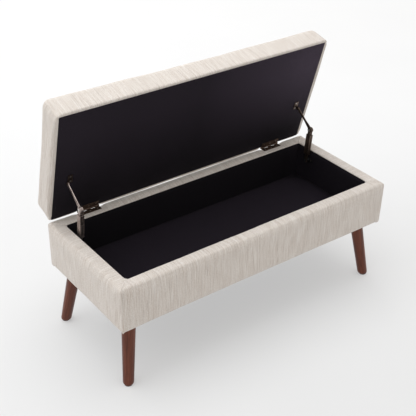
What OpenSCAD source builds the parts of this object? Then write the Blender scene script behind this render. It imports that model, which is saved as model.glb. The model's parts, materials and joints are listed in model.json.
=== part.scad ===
// Upholstered storage bench: a padded box on four splayed wooden legs, with a padded
// lid on two butt hinges and two folding lid stays. The lid stands open.
// X runs along the bench, Y towards the hinge side, Z up, and the floor is z = 0.

/* [Box] */
// Overall length, side to side
bench_l = 1100; // [1000:10:1200]
// Depth of the box, front to back
bench_d = 447; // [430:1:470]
// Height of the padded rim above the floor
rim_z = 390.5; // [385:0.5:410]
// Height of the underside above the floor
base_z = 229; // [210:1:232]
// Width of the padded rim at the two ends
rim_end = 48; // [46:1:60]
// Width of the padded rim along the front and the back
rim_side = 43.5; // [42:0.5:50]
// Radius of the upright corners
corner_r = 14; // [8:1:18]
// Radius of the rim's top edges
rim_r = 15; // [10:1:18]
// Height of the storage floor above the underside
floor_rise = 32; // [30:1:40]

/* [Sheet materials] */
// Thickness of the wooden boards
board_t = 15; // [12:1:16]
// Thickness of the upholstery fabric
cover_t = 2.5; // [1.5:0.5:3]
// Thickness of the black lining inside
lining_t = 2; // [1:0.5:2]
// Thickness of the soft strip on top of the boards
rim_pad_t = 6; // [3:1:8]
// Width of the fabric turned under the box and the lid
turn_in = 30; // [20:1:36]

/* [Lid] */
// Angle that the lid stands open
lid_open = 75; // [70:1:80]
// Depth of the lid, front to back
lid_d = 438; // [430:1:450]
// Thickness of the lid at its middle
lid_h = 88; // [78:1:92]
// Rise of the lid's top from edge to middle
lid_crown = 5; // [3:1:12]
// Radius of the lid's upright corners
lid_corner_r = 26; // [15:1:35]
// Radius of the lid's top edges
lid_edge_r = 20; // [12:1:26]
// Bare fabric left beside the black cloth under the lid, at the two ends
cloth_margin = 16.5; // [10:0.5:24]
// Bare fabric left in front of the black cloth under the lid
cloth_front = 8.5; // [5:0.5:16]

/* [Legs] */
// Leg centre at the underside, from the middle of the bench
leg_top_x = 489; // [470:1:495]
// Leg centre at the underside, from the middle of the bench
leg_top_y = 165; // [150:1:170]
// Foot centre on the floor, from the middle of the bench
foot_x = 521; // [490:1:530]
// Foot centre on the floor, from the middle of the bench
foot_y = 202; // [170:1:206]
// Leg diameter at the top
leg_top_d = 45.6; // [36:0.2:50]
// Leg diameter at the foot
leg_foot_d = 35.2; // [26:0.2:38]
// Thickness of the glide under each foot
glide_t = 2; // [1:0.5:4]

/* [Hinges] */
// Distance of each hinge from the middle of the bench
hinge_x = 394; // [300:1:430]
// Length of a hinge
hinge_l = 80; // [60:5:100]
// Width of a hinge leaf from the pin's axis
leaf_w = 22; // [18:1:24]
// Thickness of a hinge leaf
leaf_t = 1.5; // [1.2:0.1:1.6]
// Radius of the hinge barrel
barrel_r = 3.5; // [3.4:0.1:4]
// Radius of the hinge pin
hinge_pin_r = 1.6; // [1.2:0.1:1.8]

/* [Lid stays] */
// Distance of each stay from the middle of the bench
stay_x = 487; // [480:1:488]
// Wall pivot, distance behind the middle of the box
stay_wall_y = 118; // [114:1:120]
// Wall pivot, height above the floor
stay_wall_z = 350; // [348:1:352]
// Length of the sprung lower link between its pivots
lower_link = 134; // [132:1:136]
// Length of the flat upper arm between its pivots
upper_link = 94; // [93:1:95]
// Lid pivot, distance from the hinge axis along the lid
stay_lid_u = 155; // [154:1:157]
// Lid pivot, distance below the lid
stay_lid_v = 7; // [6.8:0.1:8]

/* [Hidden] */
$fn = 48;
eps = 0.01;

// Half sizes of the box, of its opening and of the boards' inner and outer faces
half_l = bench_l / 2;
half_d = bench_d / 2;
open_x = half_l - rim_end;
open_y = half_d - rim_side;
in_x = open_x + lining_t;
in_y = open_y + lining_t;
out_x = in_x + board_t;
out_y = in_y + board_t;

// Heights of the box's layers
turn_t = 2;
board_z = base_z + turn_t;
board_top = rim_z - cover_t - rim_pad_t;
floor_z = base_z + floor_rise;
bottom_top = floor_z - lining_t;
bottom_z = bottom_top - board_t;
return_z = rim_z - 4;
rail_h = 46;
cloth_t = 1;

// Hinge axis, just behind and above the box's top back edge
hinge_y = half_d + 3;
hinge_z = rim_z + barrel_r;
leaf_screw_y = 14;
leaf_screw_pitch = 28;
knuckles = 5;
knuckle_gap = 0.3;
running = 0.05;

// Lid layers, measured up from its underside
lid_back_u = 4;
lid_mid_u = lid_back_u + lid_d / 2;
flange_v = cloth_t + cover_t;
lid_board_inset = cover_t + 2.5;
cloth_back = 2.5;
staple_inset = 12;

// Screws
screw_r = 1.75;
screw_head_r = 3.2;
screw_head_h = 1.5;
screw_l = 15;

// Staples
staple_l = 10;
staple_w = 1.2;
staple_t = 0.4;
staple_pitch = 62;

// Leg, its bolt and its insert
leg_tilt = atan2(norm([foot_x - leg_top_x, foot_y - leg_top_y]), base_z);
leg_heading = atan2(foot_y - leg_top_y, foot_x - leg_top_x);
leg_len = base_z / cos(leg_tilt);
bolt_r = 4;
bolt_down = 42;
bolt_up = 27;
insert_r = 6;
insert_from = 6;
insert_to = 25;
block_w = 72;
glide_r = 13;

// Rest pose of the stays, from the lengths of their links. Angles are measured from +Y
// towards +Z. The elbow lies on the front side of the line between the outer pivots.
lid_pivot = [hinge_y - stay_lid_u * cos(lid_open) - stay_lid_v * sin(lid_open),
             hinge_z + stay_lid_u * sin(lid_open) - stay_lid_v * cos(lid_open)];
wall_pivot = [stay_wall_y, stay_wall_z];
pivot_gap = norm(lid_pivot - wall_pivot);
gap_angle = atan2(lid_pivot[1] - wall_pivot[1], lid_pivot[0] - wall_pivot[0]);
lower_angle = gap_angle + acos((pow(lower_link, 2) + pow(pivot_gap, 2) - pow(upper_link, 2))
                               / (2 * lower_link * pivot_gap));
elbow = wall_pivot + lower_link * [cos(lower_angle), sin(lower_angle)];
upper_angle = atan2(lid_pivot[1] - elbow[1], lid_pivot[0] - elbow[0]);

// Sprung lower link, sizes across (X) by deep
case_x = 15;
case_y = 20;
case_wall = 1.6;
case_from = 28;
case_to = 114;
plug_to = 38;
front_slot = 3;
back_slot_from = 92;
tongue_t = 4;
tongue_w = 14;
stay_pin_r = 3;
fork_x = 11;
fork_y = 16.6;
fork_from = 94;
fork_slot_from = 102;
fork_slot = 4.2;
eye_r = 9.5;
elbow_pin_r = 2.5;
rivet_r = 5;
rivet_t = 1.5;
spring_from = plug_to + 0.5;
spring_to = 78;
spring_r = 4.6;
wire_r = 0.8;
spring_turns = 9;
nose_x = 3.6;
nose_y = [-6.8, -1.7];

// Flat upper arm. Its elbow hole is wide, because the linkage is opened there.
arm_t = 3;
arm_w = 9;
arm_eye_r = 10;
elbow_hole_r = 7.2;
arm_end_r = 6;

// Stay brackets
plate_t = 2;
boss_r = 7;
head_r = 5.5;
side_gap = 0.4;

// The origin is on the floor below the middle of the whole footprint, lid open
lid_reach = hinge_y + (lid_h - lid_crown) * sin(lid_open);
footprint_mid_y = (lid_reach - half_d) / 2;

fabric = [0.84, 0.80, 0.74];
black = [0.09, 0.09, 0.10];
timber = [0.78, 0.62, 0.42];
walnut = [0.36, 0.17, 0.10];
foam = [0.93, 0.90, 0.72];
bronze = [0.36, 0.27, 0.22];
steel = [0.70, 0.70, 0.72];

// ---------- placing ----------

// From the middle of the box to the origin of the whole object
module at_box() {
    translate([0, -footprint_mid_y, 0]) children();
}

// The lid's own frame: x along the hinge, y = -u from the hinge axis, z = v up from the underside
module at_lid() {
    at_box() translate([0, hinge_y, hinge_z]) rotate([-lid_open, 0, 0]) children();
}

// A link's own frame: z along the link from its pivot, y to its back, x across
module at_link(side, pivot, angle) {
    at_box() translate([side * stay_x, pivot[0], pivot[1]]) rotate([angle - 90, 0, 0]) children();
}

// ---------- shared shapes ----------

module block(low, high) {
    translate(low) cube(high - low);
}

// A rod along X between two stations
module x_rod(from, to, r) {
    translate([min(from, to), 0, 0]) rotate([0, 90, 0]) cylinder(h = abs(to - from), r = r);
}

// A flat plate of a given thickness across X, drawn in the y-z plane
module x_plate(t) {
    rotate([90, 0, 90]) linear_extrude(t, center = true) children();
}

module rounded_rect(l, d, r) {
    square([l - 2 * r, d], center = true);
    square([l, d - 2 * r], center = true);
    for (sx = [-1, 1], sy = [-1, 1])
        translate([sx * (l / 2 - r), sy * (d / 2 - r)]) circle(r);
}

// Upright outline with rounded top corners and a top that rises by crown to its middle
module soft_profile(w, h, r, crown) {
    steps = crown > 0 ? 12 : 1;
    intersection() {
        union() {
            translate([-w / 2, 0]) square([w, h - r]);
            translate([-w / 2 + r, 0]) square([w - 2 * r, h]);
            for (s = [-1, 1])
                translate([s * (w / 2 - r), h - r]) circle(r);
        }
        polygon(concat([[w / 2, 0], [-w / 2, 0]],
                       [for (i = [0 : steps]) let (t = 2 * i / steps - 1)
                           [t * w / 2, h - crown * t * t]]));
    }
}

// Block centred in plan on its base, with rounded upright corners and top edges
module soft_block(l, d, h, plan_r, edge_r, crown = 0) {
    intersection() {
        linear_extrude(h) rounded_rect(l, d, plan_r);
        translate([0, d / 2 + 1, 0]) rotate([90, 0, 0])
            linear_extrude(d + 2) soft_profile(l, h, edge_r, crown);
        translate([-l / 2 - 1, 0, 0]) rotate([90, 0, 90])
            linear_extrude(l + 2) soft_profile(d, h, edge_r, crown);
    }
}

// Countersunk wood screw, head upwards and flush with z = 0
module screw() {
    translate([0, 0, -screw_head_h]) cylinder(h = screw_head_h, r1 = screw_r, r2 = screw_head_r);
    translate([0, 0, -screw_l]) cylinder(h = screw_l - screw_head_h + eps, r = screw_r);
}

// Flat staples along the four sides of a rectangle, with their inner faces on z = 0
module staple_ring(l, d) {
    nx = floor(l / staple_pitch);
    ny = floor(d / staple_pitch);
    for (s = [-1, 1]) {
        for (i = [0 : nx - 1])
            translate([(i + 0.5 - nx / 2) * l / nx, s * d / 2, -staple_t / 2])
                cube([staple_l, staple_w, staple_t], center = true);
        for (i = [0 : ny - 1])
            translate([s * l / 2, (i + 0.5 - ny / 2) * d / ny, -staple_t / 2])
                cube([staple_w, staple_l, staple_t], center = true);
    }
}

// ---------- places of the screws ----------

module box_screw_places() {
    for (side = [-1, 1]) {
        for (i = [-1 : 1])
            translate([side * hinge_x + i * leaf_screw_pitch, hinge_y - leaf_screw_y, rim_z + leaf_t])
                children();
        for (dy = [-16, 16])
            translate([side * (open_x - plate_t), stay_wall_y + dy, stay_wall_z])
                rotate([0, -side * 90, 0]) children();
    }
}

module lid_screw_places() {
    for (side = [-1, 1]) {
        for (i = [-1 : 1])
            translate([side * hinge_x + i * leaf_screw_pitch, -leaf_screw_y, -leaf_t])
                rotate([180, 0, 0]) children();
        for (du = [4, 22])
            translate([side * (stay_x - 12), -stay_lid_u - du, -plate_t])
                rotate([180, 0, 0]) children();
    }
}

// ---------- box: boards ----------

module long_board(side) {
    color(timber) at_box() difference() {
        block([-out_x, min(side * in_y, side * out_y), board_z],
              [out_x, max(side * in_y, side * out_y), board_top]);
        box_screw_places() screw();
    }
}

module end_board(side) {
    color(timber) at_box() difference() {
        block([min(side * in_x, side * out_x), -in_y, board_z],
              [max(side * in_x, side * out_x), in_y, board_top]);
        box_screw_places() screw();
    }
}

module bottom_board() {
    color(timber) at_box() difference() {
        block([-in_x, -in_y, bottom_z], [in_x, in_y, bottom_top]);
        leg_places() leg_axis() insert_hole();
    }
}

module hinge_rail() {
    color(timber) at_box() difference() {
        intersection() {
            padded_block();
            block([-out_x, out_y, rim_z - cover_t - rail_h], [out_x, half_d, rim_z]);
        }
        box_screw_places() screw();
    }
}

// ---------- box: padding and covers ----------

// Everything inside the fabric
module padded_block() {
    translate([0, 0, board_z])
        soft_block(bench_l - 2 * cover_t, bench_d - 2 * cover_t, rim_z - cover_t - board_z,
                   corner_r - cover_t, rim_r - cover_t);
}

module long_foam(side) {
    top = side > 0 ? rim_z - cover_t - rail_h : board_top;
    color(foam) at_box() intersection() {
        padded_block();
        block([-out_x, min(side * out_y, side * half_d), board_z],
              [out_x, max(side * out_y, side * half_d), top]);
    }
}

module end_foam(side) {
    color(foam) at_box() intersection() {
        padded_block();
        block([min(side * out_x, side * half_l), -half_d, board_z],
              [max(side * out_x, side * half_l), half_d, board_top]);
    }
}

module rim_padding() {
    color(foam) at_box() difference() {
        intersection() {
            padded_block();
            block([-half_l, -half_d, board_top], [half_l, half_d, rim_z]);
        }
        block([-in_x, -in_y, board_top - 1], [in_x, in_y, rim_z]);
        block([-out_x, out_y, board_top - 1], [out_x, half_d, rim_z]);
        box_screw_places() screw();
    }
}

// The whole fabric cover: sides, rim, a return down the inside and a strip turned under
module cover_shell() {
    difference() {
        translate([0, 0, base_z])
            soft_block(bench_l, bench_d, rim_z - base_z, corner_r, rim_r);
        difference() {
            padded_block();
            block([-in_x, -in_y, base_z], [in_x, in_y, rim_z]);
        }
        block([-in_x, -in_y, base_z - 1], [in_x, in_y, return_z]);
        block([-open_x, -open_y, base_z - 1], [open_x, open_y, rim_z + 1]);
        block([-half_l + turn_in, -half_d + turn_in, base_z - 1],
              [half_l - turn_in, half_d - turn_in, board_z]);
        box_screw_places() screw();
    }
}

// One side of the cover, mitred along the lines from the inner to the outer corners
module cover_panel(turn, along, across, inner_along, inner_across) {
    reach = 1.5;
    grow_along = along + reach * (along - inner_along);
    grow_across = across + reach * (across - inner_across);
    shrink = 1;
    shrink_along = inner_along - shrink * (along - inner_along);
    shrink_across = inner_across - shrink * (across - inner_across);
    color(fabric) at_box() intersection() {
        cover_shell();
        translate([0, 0, base_z - 1]) rotate(turn) linear_extrude(rim_z - base_z + 2)
            polygon([[-grow_along, -grow_across], [grow_along, -grow_across],
                     [shrink_along, -shrink_across], [-shrink_along, -shrink_across]]);
    }
}

module wall_lining() {
    color(black) at_box() difference() {
        block([-in_x, -in_y, floor_z], [in_x, in_y, return_z]);
        block([-open_x, -open_y, floor_z - 1], [open_x, open_y, return_z + 1]);
        box_screw_places() screw();
    }
}

module floor_panel() {
    color(black) at_box() block([-in_x, -in_y, bottom_top], [in_x, in_y, floor_z]);
}

module underside_cloth() {
    color(black) at_box() difference() {
        block([-half_l + turn_in, -half_d + turn_in, base_z],
              [half_l - turn_in, half_d - turn_in, base_z + cloth_t]);
        leg_places() leg_axis() translate([0, 0, -10]) cylinder(h = 20, r = insert_r);
    }
}

module underside_staples() {
    color(steel) at_box() translate([0, 0, base_z])
        staple_ring(bench_l - 2 * turn_in - 6, bench_d - 2 * turn_in - 6);
}

// ---------- legs ----------

// The four legs' top centres, each with its own lean
module leg_places() {
    for (sx = [-1, 1], sy = [-1, 1]) at_leg(sx, sy) children();
}

module at_leg(sx, sy) {
    translate([sx * leg_top_x, sy * leg_top_y, base_z]) rotate(lean(sx, sy)) children();
}

// Heading of a leg's lean in plan
function lean(sx, sy) = atan2(sy * sin(leg_heading), sx * cos(leg_heading));

// Along the leg: z runs up the leg's axis, out of its top
module leg_axis() {
    rotate([0, -leg_tilt, 0]) children();
}

module insert_hole() {
    translate([0, 0, insert_from]) cylinder(h = insert_to - insert_from, r = insert_r);
    translate([0, 0, -bolt_down]) cylinder(h = bolt_down + bolt_up, r = bolt_r);
}

module leg(sx, sy) {
    spare = 20;
    slope = (leg_top_d - leg_foot_d) / 2 / leg_len;
    color(walnut) at_box() intersection() {
        at_leg(sx, sy) leg_axis() difference() {
            translate([0, 0, -leg_len - spare])
                cylinder(h = leg_len + 2 * spare, r1 = leg_foot_d / 2 - slope * spare,
                         r2 = leg_top_d / 2 + slope * spare);
            translate([0, 0, -bolt_down]) cylinder(h = bolt_down + 2 * spare, r = bolt_r);
        }
        block([-half_l, -half_d, glide_t], [half_l, half_d, base_z]);
    }
}

module leg_block(sx, sy) {
    color(timber) at_box() difference() {
        block([min(sx * (in_x - block_w), sx * in_x), min(sy * (in_y - block_w), sy * in_y), board_z],
              [max(sx * (in_x - block_w), sx * in_x), max(sy * (in_y - block_w), sy * in_y), bottom_z]);
        at_leg(sx, sy) leg_axis() insert_hole();
    }
}

module foot_glides() {
    color(black) at_box() for (sx = [-1, 1], sy = [-1, 1])
        translate([sx * foot_x, sy * foot_y, 0]) cylinder(h = glide_t, r = glide_r);
}

module hanger_bolts() {
    color(steel) at_box() leg_places() leg_axis()
        translate([0, 0, -bolt_down]) cylinder(h = bolt_down + bolt_up, r = bolt_r);
}

module threaded_inserts() {
    color(bronze) at_box() leg_places() leg_axis() difference() {
        translate([0, 0, insert_from]) cylinder(h = insert_to - insert_from, r = insert_r);
        cylinder(h = insert_to + 1, r = bolt_r);
    }
}

// ---------- hinges ----------

// Barrel parts numbered from 0, every second one starting at first
module knuckle_row(first, r, gap) {
    step = hinge_l / knuckles;
    for (i = [first : 2 : knuckles - 1])
        x_rod(-hinge_l / 2 + i * step + gap, -hinge_l / 2 + (i + 1) * step - gap, r);
}

// One leaf about the pin's axis; its plate runs towards -y at height low
module hinge_leaf(first, low) {
    step = hinge_l / knuckles;
    clear_y = barrel_r + 0.6;
    difference() {
        union() {
            block([-hinge_l / 2 + knuckle_gap, -leaf_w, low],
                  [hinge_l / 2 - knuckle_gap, -clear_y, low + leaf_t]);
            for (i = [first : 2 : knuckles - 1])
                block([-hinge_l / 2 + i * step + knuckle_gap, -clear_y - eps, low],
                      [-hinge_l / 2 + (i + 1) * step - knuckle_gap, 0, low + leaf_t]);
            knuckle_row(first, barrel_r, knuckle_gap);
        }
        x_rod(-hinge_l, hinge_l, hinge_pin_r + running);
    }
}

module hinge_box_leaf(side) {
    color(bronze) at_box() difference() {
        translate([side * hinge_x, hinge_y, hinge_z]) hinge_leaf(0, -barrel_r);
        box_screw_places() screw();
    }
}

module hinge_lid_leaf(side) {
    color(bronze) at_lid() difference() {
        translate([side * hinge_x, 0, 0]) hinge_leaf(1, -leaf_t);
        lid_screw_places() screw();
    }
}

module hinge_pin(side) {
    color(bronze) at_box() translate([side * hinge_x, hinge_y, hinge_z]) {
        x_rod(-hinge_l / 2 - 1, hinge_l / 2 + 1, hinge_pin_r);
        for (s = [-1, 1]) x_rod(s * (hinge_l / 2 + 0.2), s * (hinge_l / 2 + 1.4), barrel_r - 0.5);
    }
}

module box_screws() {
    color(steel) at_box() box_screw_places() screw();
}

// ---------- lid ----------

module at_lid_middle() {
    translate([0, -lid_mid_u, 0]) children();
}

// Everything inside the lid's fabric
module lid_filling() {
    at_lid_middle() translate([0, 0, flange_v])
        soft_block(bench_l - 2 * cover_t, lid_d - 2 * cover_t, lid_h - cover_t - flange_v,
                   lid_corner_r - cover_t, lid_edge_r - cover_t, lid_crown);
}

module lid_board_shape() {
    at_lid_middle() translate([0, 0, flange_v]) linear_extrude(board_t)
        rounded_rect(bench_l - 2 * lid_board_inset, lid_d - 2 * lid_board_inset, lid_corner_r - 4);
}

module lid_board() {
    color(timber) at_lid() difference() {
        lid_board_shape();
        lid_screw_places() screw();
    }
}

module lid_foam() {
    color(foam) at_lid() difference() {
        lid_filling();
        lid_board_shape();
    }
}

module lid_cover() {
    color(fabric) at_lid() difference() {
        at_lid_middle() translate([0, 0, cloth_t])
            soft_block(bench_l, lid_d, lid_h - cloth_t, lid_corner_r, lid_edge_r, lid_crown);
        lid_filling();
        at_lid_middle() linear_extrude(flange_v + eps)
            rounded_rect(bench_l - 2 * (turn_in + 15), lid_d - 2 * (turn_in + 15), 5);
        lid_screw_places() screw();
    }
}

module lid_dust_cloth() {
    color(black) at_lid() difference() {
        block([-half_l + cloth_margin, -lid_back_u - lid_d + cloth_front, 0],
              [half_l - cloth_margin, -lid_back_u - cloth_back, cloth_t]);
        lid_screw_places() screw();
    }
}

module lid_staples() {
    color(steel) at_lid() at_lid_middle()
        staple_ring(bench_l - 2 * (cloth_margin + staple_inset), lid_d - 2 * (cloth_front + staple_inset));
}

module lid_screws() {
    color(steel) at_lid() lid_screw_places() screw();
}

// ---------- lid stays ----------

module stay_wall_bracket(side) {
    inner = stay_x - tongue_t / 2 - side_gap;
    color(bronze) at_box() difference() {
        translate([0, stay_wall_y, stay_wall_z]) {
            translate([side * (open_x - plate_t / 2), 0, 0]) x_plate(plate_t) {
                square([34, 16], center = true);
                for (s = [-1, 1]) translate([s * 17, 0]) circle(8);
            }
            x_rod(side * (open_x - plate_t), side * (stay_x + tongue_t / 2 + side_gap), boss_r);
            x_rod(side * open_x, side * inner, stay_pin_r);
            x_rod(side * inner, side * (inner - plate_t), head_r);
        }
        box_screw_places() screw();
    }
}

module stay_lid_bracket(side) {
    ear_x = stay_x - arm_t / 2 - 0.3 - plate_t / 2;
    color(bronze) at_lid() difference() {
        union() {
            block([min(side * (ear_x + 1), side * (ear_x - 17)), -stay_lid_u - 29, -plate_t],
                  [max(side * (ear_x + 1), side * (ear_x - 17)), -stay_lid_u + 3, 0]);
            translate([side * ear_x, -stay_lid_u, 0]) x_plate(plate_t) {
                translate([0, -stay_lid_v]) circle(arm_end_r);
                translate([-arm_end_r, -stay_lid_v]) square([2 * arm_end_r, stay_lid_v]);
            }
            translate([0, -stay_lid_u, -stay_lid_v]) {
                x_rod(side * ear_x, side * (stay_x + arm_t / 2 + 0.3), elbow_pin_r);
                x_rod(side * (stay_x + arm_t / 2 + 0.3), side * (stay_x + arm_t / 2 + 1.6), 4.5);
            }
        }
        lid_screw_places() screw();
    }
}

// Folded steel case with a plug and a tongue at its lower end
module stay_case(side) {
    color(bronze) at_link(side, wall_pivot, lower_angle) difference() {
        union() {
            block([-case_x / 2, -case_y / 2, case_from], [case_x / 2, case_y / 2, case_to]);
            x_plate(tongue_t) {
                circle(tongue_w / 2 + 1);
                translate([-tongue_w / 2, 0]) square([tongue_w, plug_to]);
            }
        }
        block([-case_x / 2 + case_wall, -case_y / 2 + case_wall, plug_to],
              [case_x / 2 - case_wall, case_y / 2 - case_wall, case_to + 1]);
        block([-front_slot / 2, -case_y, plug_to + 2], [front_slot / 2, 0, case_to - 10]);
        block([-fork_slot / 2 - 0.2, 0, back_slot_from], [fork_slot / 2 + 0.2, case_y, case_to + 1]);
        x_rod(-case_x, case_x, stay_pin_r + running);
    }
}

// Fork pressed into the top of the case; its two ears hold the elbow pin
module stay_fork(side) {
    color(bronze) at_link(side, wall_pivot, lower_angle) difference() {
        x_plate(fork_x) {
            translate([-fork_y / 2, fork_from]) square([fork_y - 3.3, case_to - fork_from]);
            translate([-6.5, fork_from]) square([13, lower_link - fork_from]);
            translate([0, lower_link]) circle(eye_r);
        }
        block([-fork_slot / 2, -case_y, fork_slot_from],
              [fork_slot / 2, case_y, lower_link + 2 * eye_r]);
        block([-nose_x / 2 - 0.2, nose_y[0] - 0.2, fork_from - 1],
              [nose_x / 2 + 0.2, nose_y[1] + 0.2, fork_slot_from + 1]);
        translate([0, 0, lower_link]) x_rod(-case_x, case_x, elbow_pin_r);
    }
}

// Compression spring: a wire swept along a helix, with one ring of points per step
module stay_spring(side) {
    steps = spring_turns * 16;
    sides = 8;
    rise = spring_to - spring_from - 2 * wire_r;
    ring = [for (k = [0 : sides - 1]) wire_r * [cos(360 * k / sides), sin(360 * k / sides)]];
    points = [for (i = [0 : steps], k = [0 : sides - 1])
        let (a = 360 * spring_turns * i / steps, r = spring_r + ring[k][0])
        [r * cos(a), r * sin(a), spring_from + wire_r + rise * i / steps + ring[k][1]]];
    walls = [for (i = [0 : steps - 1], k = [0 : sides - 1])
        let (n = (k + 1) % sides)
        [i * sides + k, (i + 1) * sides + k, (i + 1) * sides + n, i * sides + n]];
    first = [for (k = [0 : sides - 1]) k];
    last = [for (k = [sides - 1 : -1 : 0]) steps * sides + k];
    color(steel) at_link(side, wall_pivot, lower_angle)
        polyhedron(points = points, faces = concat([first], walls, [last]), convexity = 10);
}

module stay_plunger(side) {
    color(black) at_link(side, wall_pivot, lower_angle) {
        block([-case_x / 2 + case_wall + 0.2, -case_y / 2 + case_wall + 0.2, spring_to + 0.2],
              [case_x / 2 - case_wall - 0.2, case_y / 2 - case_wall - 0.2, spring_to + 5]);
        block([-nose_x / 2, nose_y[0], spring_to + 4], [nose_x / 2, nose_y[1], case_to]);
    }
}

module stay_elbow_pin(side) {
    color(steel) at_link(side, wall_pivot, lower_angle) translate([0, 0, lower_link]) {
        x_rod(-fork_x / 2 - 0.5, fork_x / 2 + 0.5, elbow_pin_r);
        for (s = [-1, 1]) x_rod(s * fork_x / 2, s * (fork_x / 2 + rivet_t), rivet_r);
    }
}

module stay_arm(side) {
    color(bronze) at_link(side, elbow, upper_angle) difference() {
        x_plate(arm_t) {
            circle(arm_eye_r);
            translate([0, upper_link]) circle(arm_end_r);
            polygon([[-8, 6], [8, 6], [arm_w / 2, 40], [arm_w / 2, upper_link],
                     [-arm_w / 2, upper_link], [-arm_w / 2, 40]]);
        }
        x_rod(-arm_t, arm_t, elbow_hole_r);
        translate([0, 0, upper_link]) x_rod(-arm_t, arm_t, elbow_pin_r + running);
    }
}

// ---------- nodes ----------

long_board(-1);  // front_board
long_board(1);  // back_board
end_board(-1);  // left_board
end_board(1);  // right_board
bottom_board();
hinge_rail();
long_foam(-1);  // front_foam
long_foam(1);  // back_foam
end_foam(-1);  // left_foam
end_foam(1);  // right_foam
rim_padding();
cover_panel(0, half_l, half_d, open_x, open_y);  // front_cover
cover_panel(180, half_l, half_d, open_x, open_y);  // back_cover
cover_panel(-90, half_d, half_l, open_y, open_x);  // left_cover
cover_panel(90, half_d, half_l, open_y, open_x);  // right_cover
wall_lining();
floor_panel();
underside_cloth();
underside_staples();
leg_block(-1, -1);  // front_left_leg_block
leg_block(1, -1);  // front_right_leg_block
leg_block(-1, 1);  // back_left_leg_block
leg_block(1, 1);  // back_right_leg_block
leg(-1, -1);  // front_left_leg
leg(1, -1);  // front_right_leg
leg(-1, 1);  // back_left_leg
leg(1, 1);  // back_right_leg
foot_glides();
hanger_bolts();
threaded_inserts();
hinge_box_leaf(-1);  // left_hinge_box_leaf
hinge_box_leaf(1);  // right_hinge_box_leaf
hinge_pin(-1);  // left_hinge_pin
hinge_pin(1);  // right_hinge_pin
stay_wall_bracket(-1);  // left_stay_wall_bracket
stay_wall_bracket(1);  // right_stay_wall_bracket
box_screws();
lid_board();
lid_foam();
lid_cover();
lid_dust_cloth();
lid_staples();
hinge_lid_leaf(-1);  // left_hinge_lid_leaf
hinge_lid_leaf(1);  // right_hinge_lid_leaf
stay_lid_bracket(-1);  // left_stay_lid_bracket
stay_lid_bracket(1);  // right_stay_lid_bracket
lid_screws();
stay_case(-1);  // left_stay_case
stay_case(1);  // right_stay_case
stay_fork(-1);  // left_stay_fork
stay_fork(1);  // right_stay_fork
stay_spring(-1);  // left_stay_spring
stay_spring(1);  // right_stay_spring
stay_plunger(-1);  // left_stay_plunger
stay_plunger(1);  // right_stay_plunger
stay_elbow_pin(-1);  // left_stay_elbow_pin
stay_elbow_pin(1);  // right_stay_elbow_pin
stay_arm(-1);  // left_stay_arm
stay_arm(1);  // right_stay_arm
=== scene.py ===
import json
import math

import bpy
import numpy as np
from mathutils import Matrix, Vector, noise


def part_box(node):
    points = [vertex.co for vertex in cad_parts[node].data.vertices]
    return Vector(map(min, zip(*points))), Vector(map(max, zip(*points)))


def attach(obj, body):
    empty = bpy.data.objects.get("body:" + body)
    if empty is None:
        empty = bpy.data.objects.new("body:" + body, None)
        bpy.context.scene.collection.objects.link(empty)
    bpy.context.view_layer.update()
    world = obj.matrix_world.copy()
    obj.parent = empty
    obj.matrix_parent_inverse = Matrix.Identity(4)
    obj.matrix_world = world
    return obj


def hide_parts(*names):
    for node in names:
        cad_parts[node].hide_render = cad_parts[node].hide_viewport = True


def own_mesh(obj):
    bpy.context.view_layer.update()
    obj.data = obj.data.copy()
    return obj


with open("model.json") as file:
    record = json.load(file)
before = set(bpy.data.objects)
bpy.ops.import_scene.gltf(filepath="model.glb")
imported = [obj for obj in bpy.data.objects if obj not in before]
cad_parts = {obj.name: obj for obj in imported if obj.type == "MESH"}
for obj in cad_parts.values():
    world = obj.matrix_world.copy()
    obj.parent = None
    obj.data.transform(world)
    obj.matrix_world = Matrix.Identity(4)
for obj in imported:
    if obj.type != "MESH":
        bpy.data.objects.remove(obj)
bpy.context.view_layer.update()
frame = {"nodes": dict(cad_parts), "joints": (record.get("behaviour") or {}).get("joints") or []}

MM = 0.001
scene = bpy.context.scene

# ---- places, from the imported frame

joints = {j["name"]: j for j in frame["joints"]}
hinge = Vector(joints["lid_hinge"]["pos_m"])
lid_angle = math.radians(joints["lid_hinge"]["range_deg"][1])

low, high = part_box("front_cover")[0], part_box("back_cover")[1]
HX = high.x
HY = (high.y - low.y) / 2
MID_Y = (high.y + low.y) / 2
BASE_Z, RIM_Z = low.z, high.z
lining_low, lining_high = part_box("wall_lining")
LINING_T = 2 * MM
OPEN_X = lining_high.x - LINING_T
OPEN_Y = (lining_high.y - lining_low.y) / 2 - LINING_T
FLOOR_Z = lining_low.z
RETURN_Z = lining_high.z


leaf_low, leaf_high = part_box("right_hinge_box_leaf")
LEAF_INNER_X = leaf_low.x
HINGE_X = (leaf_low.x + leaf_high.x) / 2

# From the lid's own frame, x along the hinge, -y towards the lid's front and z out of its seat,
# to the row frame with the lid open
LID = Matrix.Translation(hinge) @ Matrix.Rotation(-lid_angle, 4, "X")


def lid_box(node):
    """Lowest and highest corners of a lid node in the lid's own frame."""
    back = LID.inverted()
    co = np.array([back @ v.co for v in frame["nodes"][node].data.vertices])
    return Vector(co.min(0)), Vector(co.max(0))


# ---- materials

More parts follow.
